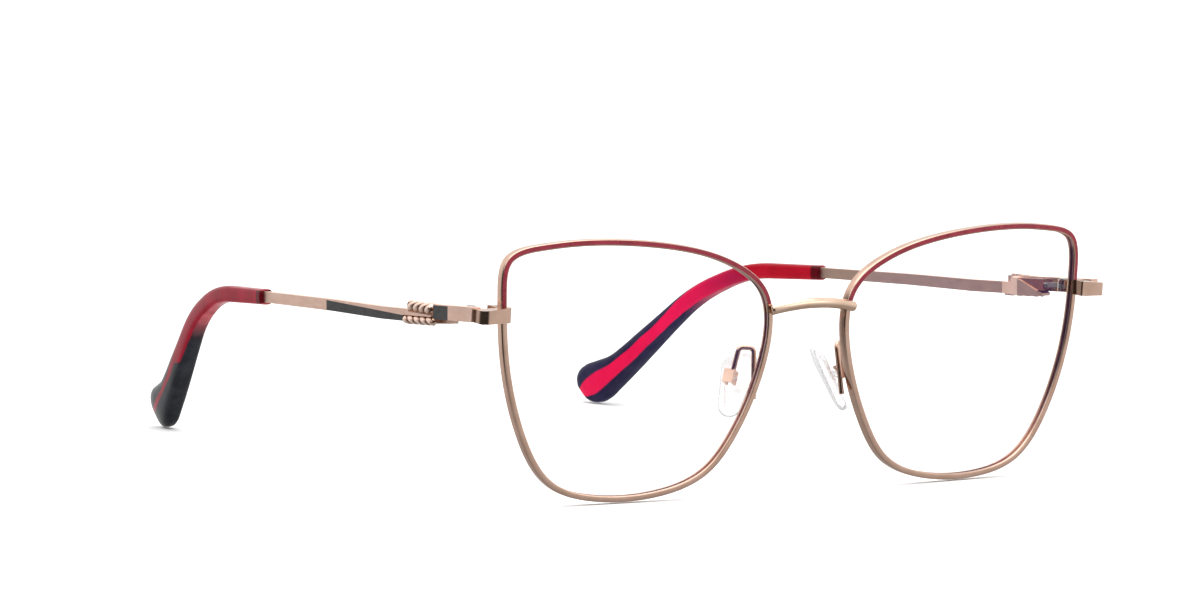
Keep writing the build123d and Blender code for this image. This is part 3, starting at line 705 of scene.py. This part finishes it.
# ---------------------------------------------------------------- floor and light
FLOOR = Shader("pale_floor")
FLOOR.set(Roughness=0.9)
FLOOR.link(FLOOR.ramp(FLOOR.noise(3, 2), (0.3, (0.93, 0.93, 0.93)), (0.7, (0.96, 0.96, 0.96))),
           FLOOR.surface.inputs["Base Color"])
floor_mesh = bpy.data.meshes.new("floor")
FLOOR_HALF = 8
FLOOR_LEVEL = -0.0002
corners = [(x * FLOOR_HALF, y * FLOOR_HALF, FLOOR_LEVEL) for x, y in ((-1, -1), (1, -1), (1, 1), (-1, 1))]
floor_mesh.from_pydata(corners, [], [(0, 1, 2, 3)])
floor_mesh.materials.append(FLOOR.material)
floor = bpy.data.objects.new("floor", floor_mesh)
bpy.context.collection.objects.link(floor)
floor.visible_glossy = False


def area_light(name, place, size, power):
    data = bpy.data.lights.new(name, "AREA")
    data.shape = "RECTANGLE"
    data.size = data.size_y = size
    data.energy = power
    light = bpy.data.objects.new(name, data)
    bpy.context.collection.objects.link(light)
    light.location = place
    light.rotation_euler = (Vector() - Vector(place)).to_track_quat("-Z", "Y").to_euler()


area_light("overhead", (0, 0.1, 1.6), 2.2, 21)
area_light("key", (-1.6, -0.4, 0.9), 1.0, 4)
area_light("fill", (0.9, -1.5, 0.8), 1.0, 3)


def studio_world():
    """Surroundings that polished metal reflects: pale, darker below, with one dark side."""
    world = bpy.data.worlds.new("studio")
    bpy.context.scene.world = world
    world.use_nodes = True
    tree = world.node_tree
    background = tree.nodes["Background"]
    where = tree.nodes.new("ShaderNodeTexCoord")
    parts = tree.nodes.new("ShaderNodeSeparateXYZ")
    tree.links.new(where.outputs["Generated"], parts.inputs[0])

    def math(kind, a, b=0.0, c=0.0):
        node = tree.nodes.new("ShaderNodeMath")
        node.operation = kind
        for socket, value in zip(node.inputs, (a, b, c)):
            if isinstance(value, (int, float)):
                socket.default_value = value
            else:
                tree.links.new(value, socket)
        return node.outputs[0]

    def ramp(value, low, high, stops):
        scaled = math("DIVIDE", math("SUBTRACT", value, low), high - low)
        node = tree.nodes.new("ShaderNodeValToRGB")
        elements = node.color_ramp.elements
        while len(elements) < len(stops):
            elements.new(0.5)
        for element, (place, level) in zip(elements, stops):
            element.position = (place - low) / (high - low)
            element.color = (level, level, level, 1)
        tree.links.new(scaled, node.inputs["Fac"])
        return node.outputs["Color"]

    x, y, z = parts.outputs
    height = ramp(z, -1.0, 1.0, [(-1.0, 0.30), (-0.5, 0.40), (-0.12, 0.80), (0.25, 0.95), (1.0, 1.05)])
    bearing = math("MULTIPLY", math("ARCTAN2", math("MULTIPLY", x, -1.0), math("MULTIPLY", y, -1.0)), 180 / pi)
    flag = ramp(bearing, -180.0, 180.0, [(-180.0, 1.0), (-16.0, 0.9), (4.0, 0.05), (112.0, 0.05), (136.0, 0.25),
                                         (150.0, 0.9), (160.0, 1.0)])
    level = ramp(math("ABSOLUTE", z), 0.0, 1.0, [(0.0, 1.0), (0.34, 1.0), (0.55, 0.0)])
    shade = tree.nodes.new("ShaderNodeMix")
    shade.data_type = "RGBA"
    shade.inputs[6].default_value = (1, 1, 1, 1)
    tree.links.new(level, shade.inputs[0])
    tree.links.new(flag, shade.inputs[7])
    final = tree.nodes.new("ShaderNodeMix")
    final.data_type = "RGBA"
    final.blend_type = "MULTIPLY"
    final.inputs[0].default_value = 1.0
    tree.links.new(height, final.inputs[6])
    tree.links.new(shade.outputs[2], final.inputs[7])
    tree.links.new(final.outputs[2], background.inputs["Color"])
    background.inputs["Strength"].default_value = 1.15


studio_world()
